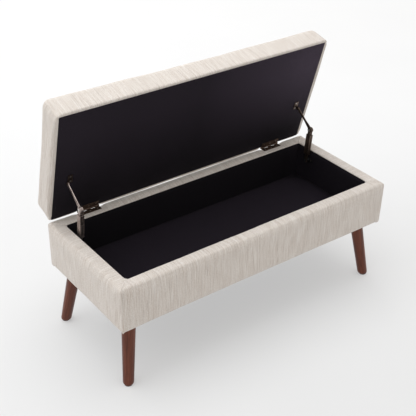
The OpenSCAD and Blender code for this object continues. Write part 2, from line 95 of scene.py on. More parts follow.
class Nodes:
    """Small helper that builds a node tree for one material."""

    def __init__(self, name, **constants):
        self.mat = bpy.data.materials.new(name)
        self.mat.use_nodes = True
        self.tree = self.mat.node_tree
        self.shader = self.tree.nodes["Principled BSDF"]
        for key, value in constants.items():
            self.shader.inputs[key.replace("_", " ")].default_value = value

    def add(self, kind, **values):
        node = self.tree.nodes.new(kind)
        for key, value in values.items():
            setattr(node, key, value)
        return node

    def join(self, out, into):
        self.tree.links.new(out, into)

    def coords(self, which="Object", scale=(1, 1, 1)):
        where = self.add("ShaderNodeTexCoord")
        mapping = self.add("ShaderNodeMapping")
        mapping.inputs["Scale"].default_value = scale
        self.join(where.outputs[which], mapping.inputs["Vector"])
        return mapping.outputs["Vector"]

    def split(self, which="Object"):
        """The coordinates' outputs X, Y and Z."""
        node = self.add("ShaderNodeSeparateXYZ")
        self.join(self.coords(which), node.inputs["Vector"])
        return node.outputs

    def bands(self, direction, scale, distortion):
        """Wavy bands that follow each other along the cloth's u (X) or v (Y)."""
        node = self.add("ShaderNodeTexWave", wave_type="BANDS", bands_direction=direction)
        node.inputs["Scale"].default_value = 1.0
        node.inputs["Distortion"].default_value = distortion
        self.join(self.coords("UV", scale), node.inputs["Vector"])
        return node.outputs["Fac"]

    def noise(self, vector, detail=2.0, rough=0.5, distortion=0.0):
        node = self.add("ShaderNodeTexNoise")
        node.inputs["Scale"].default_value = 1.0
        node.inputs["Detail"].default_value = detail
        node.inputs["Roughness"].default_value = rough
        node.inputs["Distortion"].default_value = distortion
        self.join(vector, node.inputs["Vector"])
        return node.outputs["Fac"]

    def ramp(self, value, stops):
        node = self.add("ShaderNodeValToRGB")
        ramp = node.color_ramp
        while len(ramp.elements) < len(stops):
            ramp.elements.new(0.5)
        for element, (place, colour) in zip(ramp.elements, stops):
            element.position = place
            element.color = (*colour, 1)
        self.join(value, node.inputs["Fac"])
        return node.outputs["Color"]

    def span(self, value, a, b, c=0.0, d=1.0):
        node = self.add("ShaderNodeMapRange")
        for key, v in zip(("From Min", "From Max", "To Min", "To Max"), (a, b, c, d)):
            node.inputs[key].default_value = v
        self.join(value, node.inputs["Value"])
        return node.outputs["Result"]

    def maths(self, operation, a, b=None):
        node = self.add("ShaderNodeMath", operation=operation)
        for socket, value in zip(node.inputs, (a, b)):
            if value is None:
                continue
            if isinstance(value, (int, float)):
                socket.default_value = value
            else:
                self.join(value, socket)
        return node.outputs["Value"]

    def mix(self, factor, a, b):
        """Colour a towards b. A colour is a tuple or another node's output."""
        node = self.add("ShaderNodeMix", data_type="RGBA")
        self.join(factor, node.inputs["Factor"])
        for socket, value in zip(node.inputs[6:8], (a, b)):
            if isinstance(value, tuple):
                socket.default_value = (*value, 1)
            else:
                self.join(value, socket)
        return node.outputs[2]

    def bump(self, height, strength, distance):
        node = self.add("ShaderNodeBump")
        node.inputs["Strength"].default_value = strength
        node.inputs["Distance"].default_value = distance
        self.join(height, node.inputs["Height"])
        return node.outputs["Normal"]

    def finish(self, colour, roughness=None, normal=None):
        for key, value in (("Base Color", colour), ("Roughness", roughness), ("Normal", normal)):
            if value is not None:
                self.join(value, self.shader.inputs[key])
        return self.mat


def staggered(m, across, along):
    """Coordinates that run slowly along the streaks, each thread shifted against the next one."""
    uv = m.split("UV")
    both = m.add("ShaderNodeCombineXYZ")
    shift = m.maths("MULTIPLY", uv["X"], across * 0.38)
    m.join(m.maths("MULTIPLY", uv["X"], across), both.inputs["X"])
    m.join(m.maths("ADD", m.maths("MULTIPLY", uv["Y"], along), shift), both.inputs["Y"])
    return both.outputs["Vector"]


def upholstery(name):
    """Cream slubbed linen. The cloth's u runs across the streaks and v along them, in metres."""
    m = Nodes(name, Sheen_Weight=0.22, Sheen_Roughness=0.6, Specular_IOR_Level=0.2)
    broad = m.noise(staggered(m, 300, 8), detail=2, rough=0.55)
    streak = m.noise(staggered(m, 600, 12), detail=3, rough=0.62)
    thread = m.noise(m.coords("UV", (1500, 60, 1)), detail=2, rough=0.6)
    slub = m.noise(staggered(m, 480, 11), detail=1, rough=0.4)
    brown = m.noise(staggered(m, 500, 12), detail=1, rough=0.4)
    fleck = m.noise(m.coords("UV", (380, 230, 1)), detail=2, rough=0.6)
    patch = m.noise(m.coords("Object", (7, 7, 7)), detail=2)
    tone = m.ramp(streak, [(0.34, (0.515, 0.446, 0.386)), (0.47, (0.645, 0.580, 0.520)),
                           (0.58, (0.72, 0.670, 0.620)), (0.70, (0.785, 0.750, 0.710))])
    tone = m.mix(m.span(broad, 0.44, 0.62, 0.0, 0.32), tone, (0.49, 0.410, 0.350))
    tone = m.mix(m.span(thread, 0.44, 0.72, 0.0, 0.25), tone, (0.81, 0.775, 0.735))
    tone = m.mix(m.span(slub, 0.60, 0.66, 0.0, 0.50), tone, (0.36, 0.295, 0.25))
    tone = m.mix(m.span(brown, 0.62, 0.68, 0.0, 0.42), tone, (0.45, 0.33, 0.25))
    tone = m.mix(m.span(fleck, 0.52, 0.64, 0.0, 0.42), tone, (0.82, 0.80, 0.77))
    tone = m.mix(m.span(fleck, 0.46, 0.34, 0.0, 0.40), tone, (0.48, 0.405, 0.35))
    tone = m.mix(m.span(patch, 0.35, 0.70, 0.0, 0.08), tone, (0.52, 0.465, 0.42))
    weave = m.maths("MULTIPLY", m.bands("X", (190, 4, 1), 0.6), m.bands("Y", (4, 150, 1), 0.5))
    relief = m.maths("ADD", m.maths("MULTIPLY", weave, 0.35), m.maths("MULTIPLY", streak, 0.9))
    relief = m.maths("ADD", relief, m.maths("MULTIPLY", thread, 0.5))
    normal = m.bump(relief, 0.30, 0.0006)
    rough = m.span(thread, 0.3, 0.7, 0.84, 0.97)
    return m.finish(tone, rough, normal)


def black_cloth(name, colour, painted_light_x, painted_light_z, gain, panel=None):
    """Thin black woven cloth with a faint purple cast. Painted light brightens it upwards between the
    two given heights in z, and most of all between the two given places in x. gain is how much
    brighter each makes it. panel gives the half sizes and the middle in y of a rounded area
    outside which the cloth is painted darker, painted shade along its edges and in its corners."""
    m = Nodes(name, Sheen_Weight=0.04, Sheen_Roughness=0.45, Sheen_Tint=(0.85, 0.70, 0.90, 1),
              Specular_IOR_Level=0.12)
    bloom = m.noise(m.coords("Object", (3.1, 3.1, 3.1)), detail=3, rough=0.6)
    fluff = m.noise(m.coords("Object", (90, 90, 90)), detail=4, rough=0.7)
    weave = m.maths("MULTIPLY", m.bands("X", (260, 5, 1), 0.4), m.bands("Y", (5, 240, 1), 0.4))
    where = m.split()
    # painted light: the cloth is painted brighter upwards, and most of all between the two given places
    # in x
    upward = m.span(where["Z"], *painted_light_z)
    painted_light_side = m.maths("MULTIPLY", upward, m.span(where["X"], *painted_light_x))

    def times(k):
        return tuple(c * k for c in colour)

    tone = m.mix(upward, times(1.0), times(gain[0]))
    tone = m.mix(painted_light_side, tone, times(gain[1]))
    tone = m.mix(m.span(bloom, 0.3, 0.75, 0.0, 0.35), tone, times(gain[0] * 1.5))
    tone = m.mix(m.span(fluff, 0.45, 0.8, 0.0, 0.25), tone, times(gain[0] * 2.2))
    tone = m.mix(m.span(weave, 0.0, 1.0, 0.35, 0.0), tone, times(0.5))
    # painted shade: outside the rounded panel, along the edges and in the corners, the cloth is painted
    # darker
    if panel is not None:
        half_x, half_y, mid_y = panel
        across = m.maths("ABSOLUTE", m.maths("DIVIDE", where["X"], half_x))
        deep = m.maths("ABSOLUTE", m.maths("DIVIDE", m.maths("SUBTRACT", where["Y"], mid_y), half_y))
        outside = m.maths("ADD", m.maths("POWER", across, 14), m.maths("POWER", deep, 7))
        tone = m.mix(m.span(outside, 0.55, 0.95, 0.0, 0.75), tone, times(0.15))
    normal = m.bump(m.maths("ADD", weave, m.maths("MULTIPLY", fluff, 0.8)), 0.4, 0.0005)
    return m.finish(tone, m.span(fluff, 0.3, 0.8, 0.78, 0.95), normal)


def walnut(name):
    """Satin red-brown wood whose grain runs along the leg (UV v)."""
    m = Nodes(name, Coat_Weight=0.10, Coat_Roughness=0.25, Specular_IOR_Level=0.22)
    grain = m.noise(m.coords("UV", (150, 7, 1)), detail=5, rough=0.65, distortion=0.6)
    figure = m.noise(m.coords("UV", (38, 3.2, 1)), detail=3, rough=0.55, distortion=1.4)
    pore = m.noise(m.coords("UV", (900, 34, 1)), detail=1)
    tone = m.ramp(grain, [(0.28, (0.062, 0.015, 0.007)), (0.46, (0.120, 0.032, 0.016)),
                          (0.62, (0.182, 0.053, 0.028)), (0.80, (0.265, 0.085, 0.046))])
    tone = m.mix(m.span(figure, 0.40, 0.68, 0.0, 0.55), tone, (0.085, 0.026, 0.016))
    tone = m.mix(m.span(pore, 0.62, 0.74, 0.0, 0.7), tone, (0.030, 0.010, 0.007))
    normal = m.bump(m.maths("ADD", grain, m.maths("MULTIPLY", pore, -0.7)), 0.25, 0.0004)
    return m.finish(tone, m.span(grain, 0.3, 0.8, 0.30, 0.46), normal)


def timber(name):
    """Pale plywood of the hidden boards, with grain along X."""
    m = Nodes(name, Specular_IOR_Level=0.3)
    grain = m.noise(m.coords("Object", (5, 60, 60)), detail=5, rough=0.65, distortion=0.8)
    fibre = m.noise(m.coords("Object", (22, 420, 420)), detail=2)
    tone = m.ramp(grain, [(0.3, (0.36, 0.235, 0.125)), (0.55, (0.49, 0.345, 0.20)),
                          (0.8, (0.60, 0.45, 0.29))])
    tone = m.mix(m.span(fibre, 0.5, 0.75, 0.0, 0.4), tone, (0.30, 0.19, 0.10))
    return m.finish(tone, m.span(fibre, 0.3, 0.7, 0.6, 0.8), m.bump(fibre, 0.3, 0.0004))


def foam_stuff(name):
    """Open-celled cream foam, hidden under the fabric."""
    m = Nodes(name, Specular_IOR_Level=0.1)
    cells = m.add("ShaderNodeTexVoronoi", feature="F1")
    cells.inputs["Scale"].default_value = 620
    m.join(m.coords("Object"), cells.inputs["Vector"])
    patch = m.noise(m.coords("Object", (14, 14, 14)), detail=3)
    depth = cells.outputs["Distance"]
    tone = m.mix(m.span(depth, 0.0, 0.6, 0.0, 0.5), (0.80, 0.72, 0.42), (0.58, 0.50, 0.26))
    tone = m.mix(m.span(patch, 0.4, 0.7, 0.0, 0.3), tone, (0.74, 0.62, 0.33))
    return m.finish(tone, m.span(patch, 0.3, 0.7, 0.9, 1.0), m.bump(depth, 0.5, 0.0006))


def metal(name, dark, light, rough, metallic=0.9, worn=(0.5, 0.46, 0.42)):
    """Plated steel with brushed streaks, cloudy plating and rubbed spots."""
    m = Nodes(name, Metallic=metallic, Specular_IOR_Level=0.5)
    cloud = m.noise(m.coords("Object", (38, 38, 38)), detail=4, rough=0.6)
    brush = m.noise(m.coords("Object", (1500, 90, 90)), detail=2)
    spots = m.noise(m.coords("Object", (260, 260, 260)), detail=3, rough=0.7)
    tone = m.mix(m.span(cloud, 0.35, 0.68), dark, light)
    tone = m.mix(m.span(spots, 0.62, 0.74, 0.0, 0.55), tone, worn)
    tone = m.mix(m.span(brush, 0.4, 0.7, 0.0, 0.25), tone, dark)
    roughness = m.maths("ADD", m.span(cloud, 0.3, 0.7, rough - 0.06, rough + 0.08),
                        m.span(brush, 0.3, 0.7, -0.03, 0.05))
    return m.finish(tone, roughness, m.bump(brush, 0.12, 0.0002))


def plastic(name):
    """Black moulded plastic, finely grained and scuffed."""
    m = Nodes(name, Specular_IOR_Level=0.4)
    grit = m.noise(m.coords("Object", (900, 900, 900)), detail=3)
    scuff = m.noise(m.coords("Object", (60, 60, 60)), detail=4, rough=0.7)
    tone = m.mix(m.span(scuff, 0.5, 0.75), (0.018, 0.018, 0.018), (0.06, 0.058, 0.055))
    return m.finish(tone, m.span(scuff, 0.3, 0.7, 0.45, 0.62), m.bump(grit, 0.2, 0.0003))


LINEN = upholstery("cream_linen")
# painted light: the lining, and the cloth under the box, is painted up to three times brighter at the
# right wall
LINING = black_cloth("black_lining", (0.0056, 0.0045, 0.0062), painted_light_x=(0.44, 0.49),
                     painted_light_z=(0.2, 0.21), gain=(1.0, 3.0))
# painted light: a little brighter towards the right; painted shade darkens the floor cloth outside the
# rounded panel, along its edges and in its corners
FLOORING = black_cloth("black_floor_cloth", (0.0135, 0.0102, 0.0150), painted_light_x=(-0.5, 0.5),
                       painted_light_z=(0.2, 0.21), gain=(1.0, 1.2), panel=(OPEN_X, OPEN_Y, MID_Y))
# painted reflection: the dust cloth is painted much brighter upwards and towards the right
DUST = black_cloth("black_dust_cloth", (0.0042, 0.0032, 0.0046), painted_light_x=(0.02, 0.50),
                   painted_light_z=(0.45, 0.72), gain=(4.9, 19.0))
WALNUT = walnut("walnut")
TIMBER = timber("board_timber")
FOAM = foam_stuff("cream_foam")
BRONZE = metal("bronze_plating", (0.070, 0.049, 0.040), (0.20, 0.145, 0.115), 0.36)
# painted reflection: a lighter copy of the bronze plating, for the left stay
BRONZE_PAINTED_REFLECTION = metal("bronze_plating_painted_reflection", (0.27, 0.21, 0.19), (0.58, 0.49, 0.45), 0.28)
DARK_BRONZE = metal("dark_bronze_plating", (0.070, 0.047, 0.036), (0.19, 0.130, 0.100), 0.40)
BLACKENED = metal("blackened_steel", (0.008, 0.008, 0.009), (0.022, 0.021, 0.021), 0.55, 0.4,
                  (0.05, 0.048, 0.045))
SCREW = metal("screw_plating", (0.20, 0.16, 0.14), (0.40, 0.34, 0.30), 0.35)
STEEL = metal("zinc_steel", (0.50, 0.49, 0.47), (0.74, 0.73, 0.72), 0.28, 1.0, (0.82, 0.80, 0.78))
PLASTIC = plastic("black_nylon")


# ---- mesh helpers

def piece(name, verts, faces, material, body, uv=None, smooth=True):
    """A new piece. uv gives one (u, v) for each corner of each face, face after face."""
    mesh = bpy.data.meshes.new(name)
    mesh.from_pydata([tuple(v) for v in verts], [], faces)
    mesh.validate()
    if uv is not None:
        layer = mesh.uv_layers.new(name="cloth")
        layer.data.foreach_set("uv", np.asarray(uv, np.float32).ravel())
    mesh.polygons.foreach_set("use_smooth", [smooth] * len(mesh.polygons))
    mesh.materials.append(material)
    obj = bpy.data.objects.new(name, mesh)
    scene.collection.objects.link(obj)
    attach(obj, body)
    return obj


def of_points(mesh, what):
    """The points' places, "co", or their normals, "normal", as an array of rows."""
    out = np.zeros(len(mesh.vertices) * 3)
    mesh.vertices.foreach_get(what, out)
    return out.reshape(-1, 3)


def place(obj, co):
    obj.data.vertices.foreach_set("co", np.asarray(co, np.float32).ravel())
    obj.data.update()


def facing_out(verts, faces):
    """The faces of a closed skin, all turned so that they face out of it."""
    volume = 0.0
    points = [Vector(v) for v in verts]
    for f in faces:
        for i in range(1, len(f) - 1):
            volume += points[f[0]].dot(points[f[i]].cross(points[f[i + 1]]))
    return faces if volume > 0 else [f[::-1] for f in faces]


def refine(obj):
    mod = obj.modifiers.new("refine", "SUBSURF")
    mod.levels = mod.render_levels = 1
    mod.uv_smooth = "PRESERVE_BOUNDARIES"
    return obj


def inflate(obj, held, pressure):
    """Swells a closed skin with Blender's cloth while the held points stay where they are.
    The result is kept in the mesh, and no point moves further than the cap."""
    cap, frames, stiffness = 5.0 * MM, 20, 30.0
    start = of_points(obj.data, "co")
    group = obj.vertex_groups.new(name="held")
    for weight in np.unique(held):
        if weight > 0:
            group.add([int(i) for i in np.flatnonzero(held == weight)], float(weight), "REPLACE")
    mod = obj.modifiers.new("swell", "CLOTH")
    cloth = mod.settings
    cloth.quality = 6
    cloth.mass = 0.25
    cloth.tension_stiffness = cloth.compression_stiffness = stiffness
    cloth.shear_stiffness = stiffness / 2
    cloth.bending_stiffness = 0.6
    cloth.air_damping = 2.0
    cloth.use_pressure = True
    cloth.uniform_pressure_force = pressure
    cloth.vertex_group_mass = "held"
    cloth.effector_weights.gravity = 0
    mod.collision_settings.use_collision = False
    mod.point_cache.frame_start, mod.point_cache.frame_end = 1, frames
    for f in range(1, frames + 1):
        scene.frame_set(f)
    seen = obj.evaluated_get(bpy.context.evaluated_depsgraph_get()).to_mesh()
    out = of_points(obj.data, "normal")
    swell = ((of_points(seen, "co") - start) * out).sum(1)
    shift = out * (cap * np.tanh(np.maximum(swell, 0) / cap))[:, None]
    obj.modifiers.remove(mod)
    obj.vertex_groups.remove(group)
    place(obj, start + shift)
    scene.frame_set(1)


def ripple(points, size, seed):
    """Smooth random values between about -1 and 1, one for each point."""
    offset = Vector((seed * 7.3, seed * 3.1, seed * 5.7))
    return np.array([noise.noise(Vector(p) / size + offset) for p in points])


def rising(value, start, end):
    """0 up to start, 1 from end on and straight between them. The end may be the lower one."""
    return np.clip((value - start) / (end - start), 0, 1)


def grid_faces(rows, cols, wrap=False, flip=False):
    """Faces of a grid whose point (i, j) is number i * cols + j."""
    faces = []
    for i in range(rows - 1):
        for j in range(cols if wrap else cols - 1):
            n = (j + 1) % cols
            quad = [i * cols + j, i * cols + n, (i + 1) * cols + n, (i + 1) * cols + j]
            faces.append(quad[::-1] if flip else quad)
    return faces


def rounded_loop(ax, ay, r, nx, ny, nc):
    """Points round a rounded rectangle, anticlockwise from the front side's left end, with the
    side that each segment belongs to: 0 front, 1 right, 2 back, 3 left."""
    points, sides = [], []
    corners = [(1, -1, -90), (1, 1, 0), (-1, 1, 90), (-1, -1, 180)]
    starts = [(-(ax - r), -ay), (ax, -(ay - r)), (ax - r, ay), (-ax, ay - r)]
    ends = [(ax - r, -ay), (ax, ay - r), (-(ax - r), ay), (-ax, -(ay - r))]
    for s in range(4):
        count = nx if s % 2 == 0 else ny
        a, b = starts[s], ends[s]
        for k in range(count):
            t = k / count
            points.append((a[0] + (b[0] - a[0]) * t, a[1] + (b[1] - a[1]) * t))
            sides.append(s)
        cx, cy, from_angle = corners[s]
        for k in range(nc):
            a = math.radians(from_angle + 90 * k / nc)
            points.append((cx * (ax - r) + r * math.cos(a), cy * (ay - r) + r * math.sin(a)))
            sides.append(s if k < nc / 2 else (s + 1) % 4)
    return points, sides


def squared(x, y, ax, ay, r, amount):
    """A point on a rounded rectangle, drawn out towards the sharp corner if it is at the back."""
    ox, oy = abs(x) - (ax - r), y - (ay - r)
    if ox > 0 and oy > 0:
        k = 1 + amount * (math.hypot(ox, oy) / max(ox, oy) - 1)
        x, y = math.copysign(ax - r + ox * k, x), ay - r + oy * k
    return x, y


def arc(cx, cy, r, a0, a1, n):
    """Points of an arc in a profile, without its first point."""
    return [(cx + r * math.cos(math.radians(a0 + (a1 - a0) * k / n)),
             cy + r * math.sin(math.radians(a0 + (a1 - a0) * k / n))) for k in range(1, n + 1)]


def line(a, b, n):
    """Points of a straight stretch in a profile, without its first point."""
    return [(a[0] + (b[0] - a[0]) * k / n, a[1] + (b[1] - a[1]) * k / n) for k in range(1, n + 1)]


# ---- the box's fabric cover

def box_cover():
    """One padded skin round the box: turned under, up the sides, over the rim and down inside."""
    rim = HY - OPEN_Y
    wider = (HX - OPEN_X) / rim
    under = BASE_Z + 0.2 * MM

    def side_profile(top_r, lip_r, drop):
        """Section of the padding as (way in, height), from the turned-under edge to the inside,
        and how many of its points are on the fabric that stays."""
        edge_r, inset = 10 * MM, 0.5 * MM
        top = RIM_Z + 0.9 * MM
        inner = rim - 0.6 * MM
        deep = RETURN_Z - 6 * MM
        points = [(30 * MM, under)]
        points += line(points[-1], (inset + edge_r, under), 3)
        points += arc(inset + edge_r, under + edge_r, edge_r, -90, -180, 4)
        points += line(points[-1], (inset, top - top_r), 16)
        points += arc(inset + top_r, top - top_r, top_r, 180, 90, 7)
        points += line(points[-1], (inner - lip_r, top - drop), 3)
        points += arc(inner - lip_r, top - drop - lip_r, lip_r, 90, 0, 3)
        points += line(points[-1], (inner - 0.3 * MM, deep), 2)
        outer = len(points)
        points += line(points[-1], (rim + 4 * MM, deep - 6 * MM), 1)
        points += line(points[-1], (rim + 4 * MM, BASE_Z + 4 * MM), 9)
        points += line(points[-1], (34 * MM, BASE_Z + 4 * MM), 1)
        return points, outer

    soft, shown = side_profile(12 * MM, 4.5 * MM, 0.3 * MM)
    firm, shown = side_profile(6 * MM, 4 * MM, 0.0)
    count = len(soft)
    nx, ny, nc = 132, 50, 10
    verts, flat_length = [], [0.0]
    for a, b in zip(soft, soft[1:]):
        flat_length.append(flat_length[-1] + math.dist(a, b))
    back_from, back_to = nx + ny + nc, 2 * nx + ny + 3 * nc
    for (d, z), (d_back, z_back) in zip(soft, firm):
        loops = []
        for way_in in (d, d_back):
            t = rising(way_in, 0, rim)
            shape = HX - way_in * wider, HY - way_in, (7 + 6 * t) * MM
            loop, sides = rounded_loop(*shape, nx, ny, nc)
            loops.append([squared(x, y, *shape, 0.85 * t ** 3) for x, y in loop])
        cols = len(sides)
        for j in range(cols):
            w = rising(j, back_from, back_from + nc) * rising(j, back_to, back_to - nc)
            x, y = (1 - w) * np.array(loops[0][j]) + w * np.array(loops[1][j])
            verts.append((x, y + MID_Y, (1 - w) * z + w * z_back))
    faces = grid_faces(count, cols, wrap=True)
    last = (count - 1) * cols
    faces += [[last + j, last + (j + 1) % cols, (j + 1) % cols, j] for j in range(cols)]
    faces = facing_out(verts, faces)
    obj = piece("box_cover", verts, faces, LINEN, "box")
    co = of_points(obj.data, "co")
    level = np.repeat(np.arange(count), cols)
    back = co[:, 1] > MID_Y + OPEN_Y - 1 * MM
    held = np.zeros(len(co))
    held[level >= shown - 3] = 1.0
    held[co[:, 2] < under + 1 * MM] = 1.0
    held[back & (np.abs(np.abs(co[:, 0]) - HINGE_X) < 50 * MM) & (co[:, 2] > RIM_Z - 8 * MM)] = 1.0
    inflate(obj, held, 3.5)
    co = of_points(obj.data, "co")
    nrm = of_points(obj.data, "normal")
    # a soft fold down each upright corner and along each mitre, and slight unevenness
    mids, at = [], 0
    for columns in (nx, ny, nx, ny):
        mids.append(at + columns + nc / 2)
        at += columns + nc
    past = [min(((c - m + cols / 2) % cols - cols / 2 for m in mids), key=abs) for c in range(cols)]
    signed = np.tile(past, count)
    visible = level < shown - 4
    fold = np.exp(-(signed / 0.9) ** 2) * 2.0 - np.exp(-((signed - 2.0) / 1.1) ** 2) * 1.0
    bumps = ripple(co, 0.11, 1) * 0.9 + ripple(co, 0.035, 2) * 0.25
    lift = np.where(visible, fold * MM * (np.abs(signed) < 8) + bumps * MM * (held < 1), 0)
    co = co + nrm * lift[:, None]
    # the fabric's lowest edge wanders a little, and sags at the corners' folds
    low_edge = (level >= 3) & (level <= 9)
    sag = ripple(co * [1, 1, 0], 0.09, 3) * 0.8 + np.exp(-((signed - 0.5) / 3.2) ** 2) * 7.5
    co[:, 2] -= np.where(low_edge, sag * MM * np.clip(1 - np.abs(level - 5) / 5.0, 0, 1), 0)
    # the padding swells past the frame at the ends, the lip draws back at the right and the
    # back, and the rim's back edge rises towards the lid, except beside the hinges
    right_out, left_out, lip_back, back_rise = 9.0 * MM, 4.0 * MM, 4.0 * MM, 4.2 * MM
    way_in = rising(np.array(soft)[level, 0], 0, rim)
    at_end = rising(np.abs(co[:, 0]), OPEN_X - 100 * MM, OPEN_X)
    at_end = at_end * at_end * (3 - 2 * at_end)
    fuller = np.clip(0.7 + 0.3 * (co[:, 2] - BASE_Z) / (RIM_Z - BASE_Z), 0, 1)
    right_swell = (1 - way_in) * right_out + way_in * lip_back
    left_swell = (1 - way_in) * left_out
    co[:, 0] += at_end * fuller * np.where(co[:, 0] > 0, right_swell, -left_swell)
    co[:, 1] += rising(co[:, 1], MID_Y + 80 * MM, MID_Y + 180 * MM) * way_in * lip_back
    from_hinge = np.abs(np.abs(co[:, 0]) - HINGE_X)
    rise = back_rise * rising(way_in, 0.85, 0.25) * rising(from_hinge, 47 * MM, 59 * MM)
    co[:, 2] += np.where(back, rise * rising(co[:, 2], RIM_Z - 25 * MM, RIM_Z - 5 * MM), 0)
    # under the hinges' leaves the fabric stays flat
    at_leaf = back & (from_hinge < 46 * MM)
    co[:, 2] = np.where(at_leaf, np.minimum(co[:, 2], RIM_Z - 0.3 * MM), co[:, 2])
    place(obj, co)
    # drop the hidden inner side, then lay the cloth's own coordinates on the rest
    side_shift = 1.37
    keep = shown * cols
    faces = [f for f in faces[:-cols] if max(f) < keep]
    co = co[:keep]
    uv = []
    for f in faces:
        row, col = divmod(min(f), cols)
        if max(f) - min(f) > cols + 1 or (f[0] % cols == cols - 1) != (f[1] % cols == cols - 1):
            col = cols - 1
        side = sides[col]
        for i in f:
            along = co[i][0] if side % 2 == 0 else co[i][1]
            uv.append((along + side * side_shift, flat_length[i // cols]))
    bpy.data.objects.remove(obj)
    obj = piece("box_cover", co, faces, LINEN, "box", uv)
    refine(obj)
    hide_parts("front_cover", "back_cover", "left_cover", "right_cover")
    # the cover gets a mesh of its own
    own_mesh(obj)


# ---- the lid's fabric cover

def stations(lo, hi, step, fine):
    """Grid lines between two ends, closer together over the last stretch at each end."""
    near = [0.0, 0.12, 0.24, 0.37, 0.52, 0.68, 0.84, 1.0]
    inner = max(2, round((hi - lo - 2 * fine) / step))
    ends = [lo + fine * t for t in near[:-1]]
    middle = [lo + fine + (hi - lo - 2 * fine) * k / inner for k in range(inner + 1)]
    return ends + middle + [hi - fine * t for t in near[:-1]][::-1]


